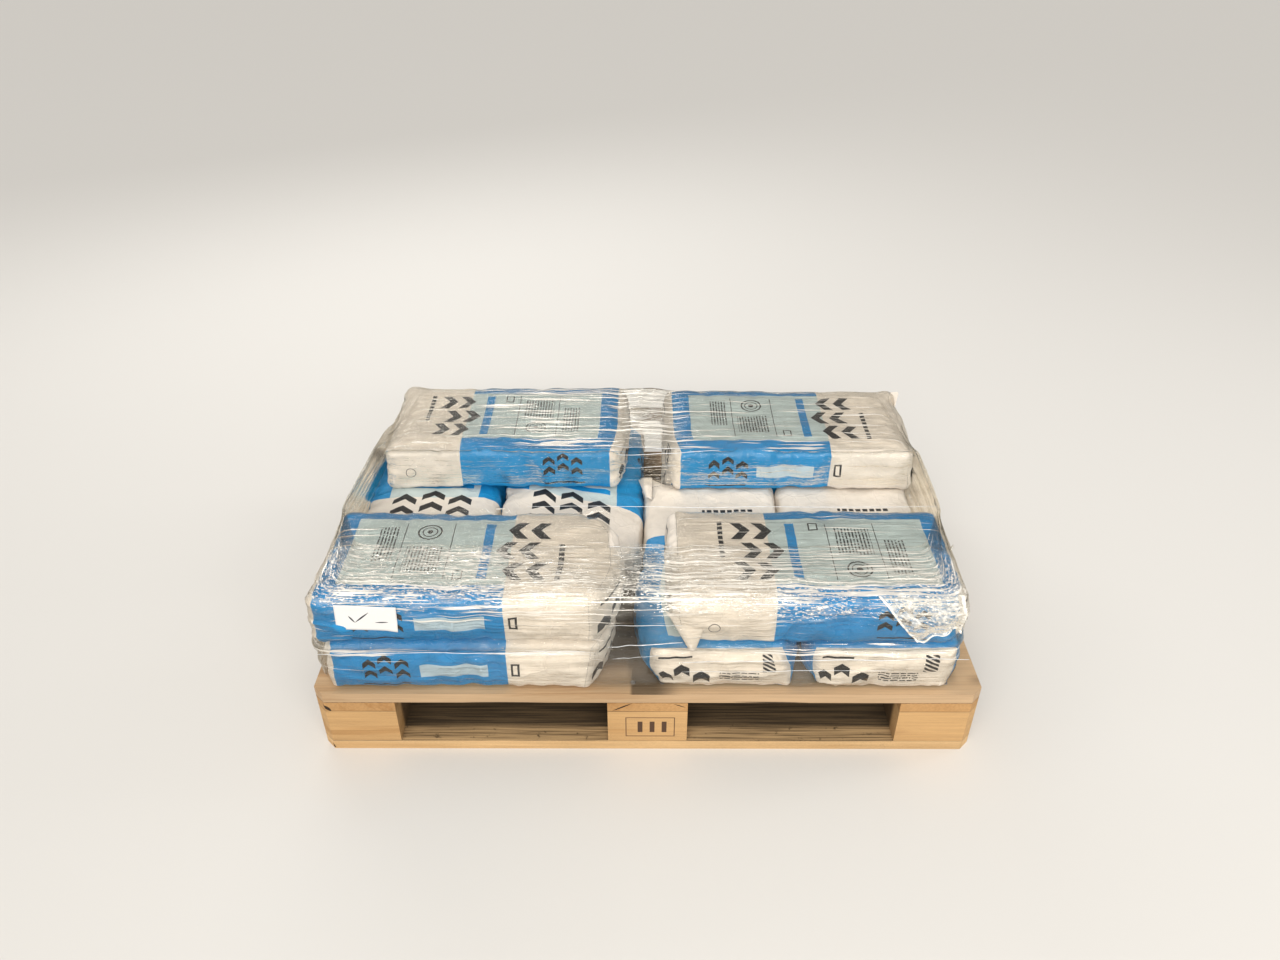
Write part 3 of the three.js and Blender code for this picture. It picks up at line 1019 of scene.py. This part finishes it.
def add_loose_turn(name, tree, material):
    """A sheet of film that lies on the sacks, and spans the gap where there is no sack."""
    corner, side, fall, way = np.array(LOOSE_TURNS[name], float)
    cells = [round(np.linalg.norm(edge) / cell) for edge, cell in zip((fall, side), LOOSE_TURN_CELL)]
    surface, down, over = patch((corner, corner + side, corner + fall, corner + side + fall), *cells)
    surface *= MM
    ways = np.broadcast_to(way, surface.shape)
    depth = depths(tree, surface, ways, LOOSE_TURN_START_OUT, LOOSE_TURN_REACH)
    depth = np.where(np.isnan(depth), np.nanmedian(depth), depth)
    depth = np.minimum(blur(depth, 6, "edge"), depth)
    along, rows = surface[..., 0] + 7, surface[..., 1] - surface[..., 2]
    depth -= (0.5 + 1.1 * creases(stacked(along / 0.3, rows / 0.013, 0), 381)) * MM
    surface = surface + way * depth[..., None]
    fade = smooth_step(np.minimum(over, 1 - over), 0, 0.03)
    if name.endswith("rear"):
        fade = fade * (0.50 - 0.3 * down)
    # painted highlights: white threads and crinkles, fading out at the edges
    taut = np.clip((0.60 + 0.30 * noise(surface / 0.09, 383)) * fade, 0, 1)
    zones = {"glint": 0.16 * fade, "taut": taut, "haze_and_highlight": 0 * fade}
    thing = sheet_mesh(name, material, surface, along, rows, zones)
    finish_piece(thing, "stretch_film")


# Strands of rolled film edge: their ends, how far they sag and their thickness, in mm
FILM_STRANDS = [
    ((-66, 95, 352), (96, 90, 351), 1.5, 2.6),
    ((-62, 66, 350), (150, 84, 351), 2.0, 2.2),
    ((-50, 27, 344), (64, 40, 344), 3.0, 1.4),
    ((-230, -112, 349), (552, -114, 350), 1.0, 1.6),
    ((-70, -238, 352), (44, -238, 352), 3.0, 2.4),
    ((-64, -262, 352), (50, -258, 352), 3.0, 1.2),
    ((-60, -300, 351), (44, -290, 351), 4.0, 1.5),
    ((-66, -391, 300), (60, -393, 303), 0.0, 1.4),
    ((-70, -394, 252), (60, -392, 262), 0.0, 2.2),
    ((-60, -394, 226), (40, -392, 232), 0.0, 1.2),
    ((60, -393, 216), (560, -392, 224), 0.0, 2.2),
    ((40, -393, 192), (430, -392, 196), 0.0, 1.2),
    ((-575, -395, 236), (-110, -395, 244), 0.0, 1.6),
]
STRAND_SIDES = 6
STRAND_TWIST = 9


def add_strands():
    """The rolled edges and tight pleats of the film, as thin strands."""
    points, faces = [], []
    for number, (start, end, sag, thickness) in enumerate(FILM_STRANDS):
        start, end = np.array((start, end), float)
        count = max(int(np.linalg.norm(end - start) / 9), 8)
        rings_of_points = []
        for step in range(count + 1):
            t = step / count
            middle = start + (end - start) * t
            middle[2] -= sag * 4 * t * (1 - t)
            middle += noise([(t * 7, number, part) for part in (0, 5, 9)], 350) * 1.2
            taper = 0.25 + 0.75 * math.sin(math.pi * min(max(t, 0.02), 0.98)) ** 0.35
            radius = thickness / 2 * taper
            rings_of_points.append([
                (middle + np.array([0, c, 0.55 * s]) * radius) * MM
                for c, s in circle(STRAND_SIDES, t * STRAND_TWIST)
            ])
        add_tube(points, faces, rings_of_points)
    thing = mesh_object("stretch_film_strands", points, faces, [strand_material()])
    finish_piece(thing, "stretch_film")


# The loose end of the film over the front right edge: top left, top right, low left, low right
TAIL_CORNERS = ((390, -372, 352), (536, -370, 352), (460, -402, 266), (532, -398, 290))
TAIL_CELLS = 44


def add_film_tail(material):
    """A crumpled rag of film that hangs over the front right edge."""
    surface, down, over = patch(TAIL_CORNERS, TAIL_CELLS, TAIL_CELLS)
    bulge = np.sin(np.pi * np.clip(down * 1.1, 0, 1))
    surface[..., 1] -= 17 * bulge * (0.75 + 0.25 * np.sin(np.pi * over))
    surface[..., 2] += 5 * bulge
    crumple = creases(surface / 17, 361) * 5 + creases(surface / 8, 362) * 2.4
    surface[..., 1] -= crumple * (0.3 + 0.7 * bulge)
    surface[..., 2] += crumple * 0.6 * down
    surface[..., 0] += 3 * noise(surface / 22, 366)
    ragged = 11 * noise(stacked(over * 5, 0, 0), 367) - 9 * np.sin(np.pi * over)
    surface[..., 2] -= ragged * down ** 3
    surface *= MM
    border = np.minimum(np.minimum(over, 1 - over), 1 - down) < 0.035
    ridges = creases(surface / (15 * MM), 368) ** 2 + creases(surface / (7 * MM), 369) ** 2
    # painted highlights along the rag's rim and on its crumple ridges
    zones = {
        "glint": np.where(border, 1.0, 0.75), "taut": np.where(border, 0.9, 0.3),
        "haze_and_highlight": np.where(border, 3.8, 0.35 + 2.6 * ridges),
    }
    along, rows = surface[..., 0] + 4, 0.35 - surface[..., 2]
    thing = sheet_mesh("stretch_film_tail", material, surface, along, rows, zones)
    finish_piece(thing, "stretch_film")


def peaks(pattern, rare, common, share):
    """The peaks of a pattern: few where the share is 0, many where it is 1."""
    low = share * -common + rare
    return pattern.ramp(low, low + 0.06)


def film_material():
    """Several turns of clear film: see-through and glossy, with painted highlights as white threads and
    crinkles where it wrinkles, partly the milky white of bunched film.
    """
    graph = Graph("stretch_film")
    place = graph.flat_map("wrap")
    glint, taut, haze_and_highlight = (
        graph.out("Attribute", {}, "Fac", attribute_name=name) for name in ("glint", "taut", "haze_and_highlight")
    )
    long = graph.noise(graph.place((5.5, 190, 1), place), 1.0, roughness=0.55, distortion=0.3)
    short = graph.noise(graph.place((34, 240, 1), place), 1.0, detail=2.5, roughness=0.6, distortion=1.1)
    tiny = graph.noise(graph.place((150, 420, 1), place), 1.0, detail=1.0)
    threads = peaks(long, 0.745, 0.235, taut)
    crinkles = peaks(short, 0.80, 0.26, glint) * 0.9
    bright = either(threads, crinkles, peaks(tiny, 0.86, 0.29, glint))
    normal = graph.bump(tiny * 0.25 + (short * 0.6 + long), 0.0022)
    fresnel = graph.out("Fresnel", {"IOR": 1.27, "Normal": normal})
    shine = graph.math("MULTIPLY_ADD", bright, 0.16, fresnel, clamp=True)
    # the white share: the milky turns, and painted highlights in the threads, crinkles and ridges
    milk_and_highlights = graph.math("MULTIPLY_ADD", bright, 0.66, haze_and_highlight * 0.20 + 0.012, clamp=True)
    clear = graph.out("BsdfTransparent", {"Color": (0.985, 0.982, 0.965)})
    gloss = graph.out("BsdfAnisotropic", {"Color": (1, 0.97, 0.90), "Roughness": 0.10, "Normal": normal})
    white = graph.out("BsdfDiffuse", {"Color": (1.0, 0.955, 0.87), "Normal": normal})
    return graph.finish(graph.mix_shaders(shine, graph.mix_shaders(milk_and_highlights, clear, white), gloss))


def strand_material():
    """Film rolled into a strand: milky and glossy."""
    graph = Graph("stretch_film_rolled")
    pattern = graph.noise(graph.place((40, 400, 400)), 1.0)
    clear = graph.out("BsdfTransparent", {"Color": (0.98, 0.99, 1.0)})
    gloss = graph.principled((0.93, 0.95, 0.97), 0.18, graph.bump(pattern, 0.0008, 0.8))
    return graph.finish(graph.mix_shaders(pattern.ramp(0.30, 0.62, 0.25, 0.95), clear, gloss))


# Pallet

PINE = (0.68, 0.45, 0.225)
CROSS_PINE = (0.48, 0.275, 0.115)
DECK_PINE = (0.50, 0.345, 0.205)
BLOCK_PINE = (0.56, 0.345, 0.155)
# the dark of dirt and of painted shade
DIRT_AND_SHADE = (0.020, 0.014, 0.009)
BURNT = (0.09, 0.05, 0.03)
SPLIT_DARK = (0.035, 0.022, 0.014)
# Dark splits and chips on the front faces, each from one point (x, z) to another, and their width, in mm. The
# long marks along the deck board's lower edge are splintered wood and also a painted shadow line at that
# edge.
CROSS_BOARD_SPLITS = [
    ((-64, 101), (-27, 121), 3.0), ((47, 119), (69, 110), 2.0), ((-585, 115), (-571, 99), 7.0),
]
BOARD_SPLITS_AND_EDGE_SHADE = [
    ((150, 124.5), (292, 123.0), 2.4), ((-591, 17), (-580, 2), 7.0), ((-330, 123), (-180, 122.5), 1.6),
]
FRONT_FACE = -0.3975
DECK_TOP = (0.1415, 0.1425)
JOINT_HEIGHTS = (0.022, 0.100, 0.122)
STAMP_X, STAMP_Z, STAMP_LINE = (-0.040, 0.050), (0.034, 0.084), 0.0016


def split_mark(x, z, start, end, width):
    """A dark lens-shaped mark on a flat face."""
    (x1, z1), (x2, z2) = start, end
    long = math.hypot(x2 - x1, z2 - z1)
    dx, dz = (x2 - x1) / long, (z2 - z1) / long
    from_x, from_z = x - x1 * MM, z - z1 * MM
    share = (from_x * dx + from_z * dz) * (2 / (long * MM)) - 1.0
    half = (share * share * -1.0 + 1.0) * (width / 2 * MM)
    return abs(from_x * -dz + from_z * dx) < half


def knots(graph, place):
    """Oval knots with a dark heart, in some of the cells of a stretched pattern."""
    cells = graph.add("TexVoronoi", {"Vector": place, "Scale": 1.0}, feature="F1").outputs
    distance = Wire(graph, cells["Distance"])
    chosen = graph.separate(Wire(graph, cells["Color"]))[0] > 0.62
    return distance.fall(0.045, 0.085) * chosen, distance.fall(0.07, 0.19) * chosen


def wood_dirt_and_shade(graph, place, blotches, fibres):
    """The share of dirt and painted shade: painted shade and dirt in recesses; painted shade inside the
    openings, under the load and on the deck in the gap between the front sacks; dirt in spots and on worn
    corners.
    """
    x, y, z = graph.separate(place)
    far_x, far_y = abs(x), abs(y)
    on_deck = z > DECK_TOP[1]
    # ambient occlusion: painted shade in the recesses, with some dirt
    open_air = graph.out("AmbientOcclusion", {"Distance": 0.22}, "AO", samples=6)
    recesses = ((blotches - 0.5) * 0.7 + open_air).ramp(0.15, 0.52, 0.90, 0.0)
    recesses = recesses * z.ramp(*DECK_TOP, 1.0, 0.05) * (far_y.inside(0.366, 0.3975) * -0.70 + 1.0)
    # painted shade inside the openings, a little streaked
    inner = far_y.fall(0.356, 0.376) * far_x.fall(0.500, 0.597) * (z < 0.1225)
    streaks = (fibres * 0.4 + blotches).ramp(0.50, 0.82, 0.88, 1.0)
    # painted shade on the deck under the sacks
    load_edge = x.ramp(-0.040, -0.028, 0.362, 0.392)
    shade_under_load = far_y.fall(0.300, load_edge) * far_x.fall(0.548, 0.566) * on_deck
    stains = graph.noise(place, 17.0, detail=5.0, roughness=0.7).ramp(0.64, 0.80, 0.0, 0.35)
    specks = graph.noise(place, 48.0, detail=4.0, roughness=0.65).ramp(0.58, 0.70, 0.0, 0.80)
    specks = specks * (z < 0.0225) * (z > 0.0205)
    corner_wear = far_x.ramp(0.572, 0.600, 0.0, 0.45) * blotches.ramp(0.52, 0.70)
    # painted shade on the deck in the gap between the front sacks
    deck_gap_shade = x.ramp(-0.034, -0.026) * x.ramp(0.01, 0.07, 0.70, 0.0) * on_deck
    return either(recesses, stains, specks, inner * streaks * 0.84, shade_under_load * 0.90, corner_wear, deck_gap_shade)


def wood_material(name, axis, tone, splits=(), has_stamp=False):
    """Sawn pine with its grain along an axis, knots, splits, dirt, and painted shade in its recesses, its
    openings and under the load.
    """
    graph = Graph(name)
    place = graph.out("TexCoord", {}, "Object")

    def stretched(across, along, source=place):
        return graph.place(tuple(along if number == axis else across for number in range(3)), source)

    heart, halo = knots(graph, stretched(10.0, 3.6))
    round_knots = graph.bent(place, graph.combine(halo, halo, halo), 0.012)
    grain = graph.noise(stretched(26.0, 1.1, round_knots), 1.0, detail=6.0, roughness=0.66, distortion=0.7)
    fibres = graph.noise(stretched(260.0, 6.0), 1.0, detail=3.0, roughness=0.6)
    blotches = graph.noise(stretched(13.0, 0.55), 1.0, detail=4.0)
    late_wood = tuple(part * factor for part, factor in zip(tone, (0.74, 0.62, 0.48)))
    pale_wood = tuple(min(part * factor, 1) for part, factor in zip(tone, (1.15, 1.16, 1.18)))
    colour = graph.paint(
        tone, (grain.ramp(0.50, 0.64) * 0.50, late_wood),
        (graph.noise(place, 2.3).ramp(0.38, 0.66, 0.0, 0.65), pale_wood),
        (halo * 0.55, (0.36, 0.19, 0.085)), (heart, (0.10, 0.048, 0.022)),
    )
    colour = graph.shaded(colour, fibres.ramp(0.28, 0.76, 0.88, 1.06))

    x, y, z = graph.separate(place)
    on_front = y < FRONT_FACE
    joints = either(*[z.inside(level - 0.0014, level + 0.0006) for level in JOINT_HEIGHTS])
    coats = [
        # dirt, and painted shade in recesses, openings, under the load and in the gap
        (wood_dirt_and_shade(graph, place, blotches, fibres), DIRT_AND_SHADE),
        (joints * fibres.ramp(0.35, 0.65, 0.15, 0.75), DIRT_AND_SHADE),
    ]
    coats += [(split_mark(x, z, *split) * on_front, SPLIT_DARK) for split in splits]
    if has_stamp:
        coats.append((stamp(x, z) * on_front, BURNT))
    normal = graph.bump(fibres * 0.7 + grain, 0.0011, 0.7)
    return graph.finish(graph.principled(graph.paint(colour, *coats), 0.76, normal, specular=0.25))


def stamp(x, z):
    """A plain framed mark with three bars, burnt into the centre block."""
    middle = sum(STAMP_Z) / 2
    starts = [STAMP_X[0] + 0.022 * number for number in (1, 2, 3)]
    bars = [box(x, z, (start, start + 0.009), (middle - 0.014, middle + 0.014)) for start in starts]
    return either(framed_box(x, z, STAMP_X, STAMP_Z, STAMP_LINE), *bars)


def add_pallet():
    woods = {
        "deck_board": wood_material("pine_deck", 0, DECK_PINE, BOARD_SPLITS_AND_EDGE_SHADE),
        "cross_board": wood_material("pine_crosswise", 1, CROSS_PINE, CROSS_BOARD_SPLITS),
        "bottom_board": wood_material("pine_bottom", 0, PINE, BOARD_SPLITS_AND_EDGE_SHADE),
        "block": wood_material("block_pine", 0, BLOCK_PINE),
        "block_front_centre": wood_material("block_pine_stamped", 0, BLOCK_PINE, has_stamp=True),
    }
    for name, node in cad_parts.items():
        if "board" in name or "block" in name:
            wood = woods[max((start for start in woods if name.startswith(start)), key=len)]
            for slot in node.material_slots:
                slot.material = wood
            bevel = node.modifiers.new("worn_edges", "BEVEL")
            set_all(bevel, width=1.6 * MM, segments=2, limit_method="ANGLE")


# Nail heads, in mm: radius and height of each ring
NAIL_RINGS = ((5.0, -1.0), (5.0, 0.1), (3.75, 0.25))
NAIL_SIDES = 12
# Places of nails where boards cross, over the cross board and along the deck board's width
WIDE_BOARD = 0.12
WIDE_BOARD_NAILS = ((0.24, 0.2), (0.76, 0.2), (0.5, 0.8))
NARROW_BOARD_NAILS = ((0.3, 0.28), (0.7, 0.72))
# How those places spread over each cross board, and how far they move inwards
NAIL_SPREAD = {"left": (-0.7, 0.12), "centre": (0.7, 0.0), "right": (0.7, -0.12)}


def nail_steel():
    graph = Graph("nail_steel")
    spots = graph.noise(graph.place(), 900.0)
    colour = graph.mix(spots.ramp(0.45, 0.7), (0.34, 0.33, 0.32), (0.16, 0.10, 0.07))
    return graph.finish(graph.principled(colour, 0.45, graph.bump(spots, 0.0002, 0.5), metallic=0.8))


def add_nails():
    """Flat nail heads where boards cross: three on a wide deck board, two on a narrow one."""
    points, faces = [], []
    for board, (cross, (spread, shift)) in itertools.product(range(1, 6), NAIL_SPREAD.items()):
        board_low, board_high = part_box(f"deck_board_{board}")
        cross_low, cross_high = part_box(f"cross_board_{cross}")
        wide = board_high[1] - board_low[1] > WIDE_BOARD
        for over, along in WIDE_BOARD_NAILS if wide else NARROW_BOARD_NAILS:
            x = cross_low[0] + (cross_high[0] - cross_low[0]) * (0.5 + (over - 0.5) * spread + shift)
            y = board_low[1] + (board_high[1] - board_low[1]) * along
            add_tube(points, faces, [
                [(x + radius * MM * c, y + radius * MM * s, board_high[2] + height * MM)
                 for c, s in circle(NAIL_SIDES)]
                for radius, height in NAIL_RINGS
            ])
    thing = mesh_object("deck_nails", points, faces, [nail_steel()])
    finish_piece(thing, "nail_steel")


# Label

LABEL_SIZE = (105, 54)
LABEL_TURN = math.radians(-3)
LABEL_CELLS = (28, 14)
LABEL_OFF_FRONT = 0.7
# A tick and a short line, each stroke from one point to another with its width, in mm
PEN_STROKES = [((-30, 4), (-19, -11), 3.0), ((-20, -11), (6, 14), 3.0), ((14, -9), (38, -7), 2.6)]


def label_paper():
    """White paper with a pen tick and a short line."""
    graph = Graph("label_paper")
    u, v, _ = graph.separate(graph.flat_map("label"))
    grain = graph.noise(graph.place(), 220.0, detail=3.0)
    ink = either(*[split_mark(u, v, *stroke) for stroke in PEN_STROKES])
    paper = graph.mix(grain, (0.76, 0.76, 0.75), (0.84, 0.84, 0.83))
    colour = graph.paint(paper, (ink, (0.03, 0.03, 0.045)))
    return graph.finish(graph.principled(colour, 0.6, graph.bump(grain, 0.0003, 0.3)))


def add_label():
    """The label as a thin sheet that follows the film and lifts a little at a low corner."""
    low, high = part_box("paper_label")
    middle = (low + high) / 2
    half_width, half_tall = LABEL_SIZE[0] / 2, LABEL_SIZE[1] / 2
    corners = itertools.product((-half_tall, half_tall), (-half_width, half_width))
    flat, up, over = patch([(across, height) for height, across in corners], LABEL_CELLS[1], LABEL_CELLS[0])
    u, v = flat[..., 0], flat[..., 1]
    c, s = math.cos(LABEL_TURN), math.sin(LABEL_TURN)
    curl = 2.2 * np.maximum(over - 0.8, 0) * np.maximum(0.35 - up, 0) * 14
    wave = 0.5 * np.sin(over * 7) * np.cos(up * 4)
    x, z = u * c - v * s, u * s + v * c
    off = LABEL_OFF_FRONT + curl + wave
    surface = stacked(middle[0] + x * MM, low[1] - off * MM, middle[2] + z * MM)
    thing = sheet_mesh("paper_label_sheet", label_paper(), surface, u * MM, v * MM, {}, map_name="label")
    thickness = thing.modifiers.new("thickness", "SOLIDIFY")
    thickness.thickness = 0.3 * MM
    finish_piece(thing, "label_paper", "paper_label")


# Stage: a plain pale floor and soft light

def add_light(name, kind, power, place, towards=(0, 0, 0), colour=(1, 1, 1), **settings):
    data = bpy.data.lights.new(name, kind)
    set_all(data, energy=power, color=colour, **settings)
    lamp = add_object(name, data)
    lamp.location = place
    lamp.rotation_euler = (Vector(place) - Vector(towards)).to_track_quat("Z", "Y").to_euler()


def add_area_light(name, power, place, size, colour=(1, 1, 1)):
    middle = (0, 0, 0.2)
    add_light(name, "AREA", power, place, middle, colour, shape="RECTANGLE", size=size[0], size_y=size[1])


def add_stage():
    graph = Graph("floor")
    values = {"Base Color": (0.70, 0.69, 0.67), "Roughness": 0.85}
    floor_finish = graph.finish(graph.out("BsdfPrincipled", values))
    half = 30
    corners = [(-half, -half, 0), (half, -half, 0), (half, half, 0), (-half, half, 0)]
    floor = mesh_object("floor", corners, [(0, 1, 2, 3)], [floor_finish], smooth=False)
    world = bpy.data.worlds.new("world")
    world.use_nodes = True
    background = world.node_tree.nodes["Background"]
    background.inputs["Color"].default_value = (1.0, 0.970, 0.925, 1)
    background.inputs["Strength"].default_value = 0.50
    bpy.context.scene.world = world
    add_area_light("back", 24, (-1.1, 2.3, 2.0), (2.6, 0.40), (1.0, 0.98, 0.95))
    add_area_light("front", 40, (0.5, -2.7, 2.0), (2.4, 0.45), (1.0, 0.96, 0.90))
    add_area_light("side", 8, (2.6, 0.4, 2.0), (0.5, 1.6))
    # even light from above and in front, as soft as a bright overcast sky
    add_light("sky", "SUN", 1.65, (-0.25, -0.85, 0.95), colour=(1.0, 0.96, 0.90), angle=math.radians(50))
    bpy.context.scene.view_settings.view_transform = "Standard"


add_camera()
add_stage()
add_pallet()
add_nails()
sack_things = add_sacks()
film = film_material()
tree = sack_tree(sack_things)
add_film(tree, film)
for name in LOOSE_TURNS:
    add_loose_turn(name, tree, film)
add_strands()
add_film_tail(film)
add_label()
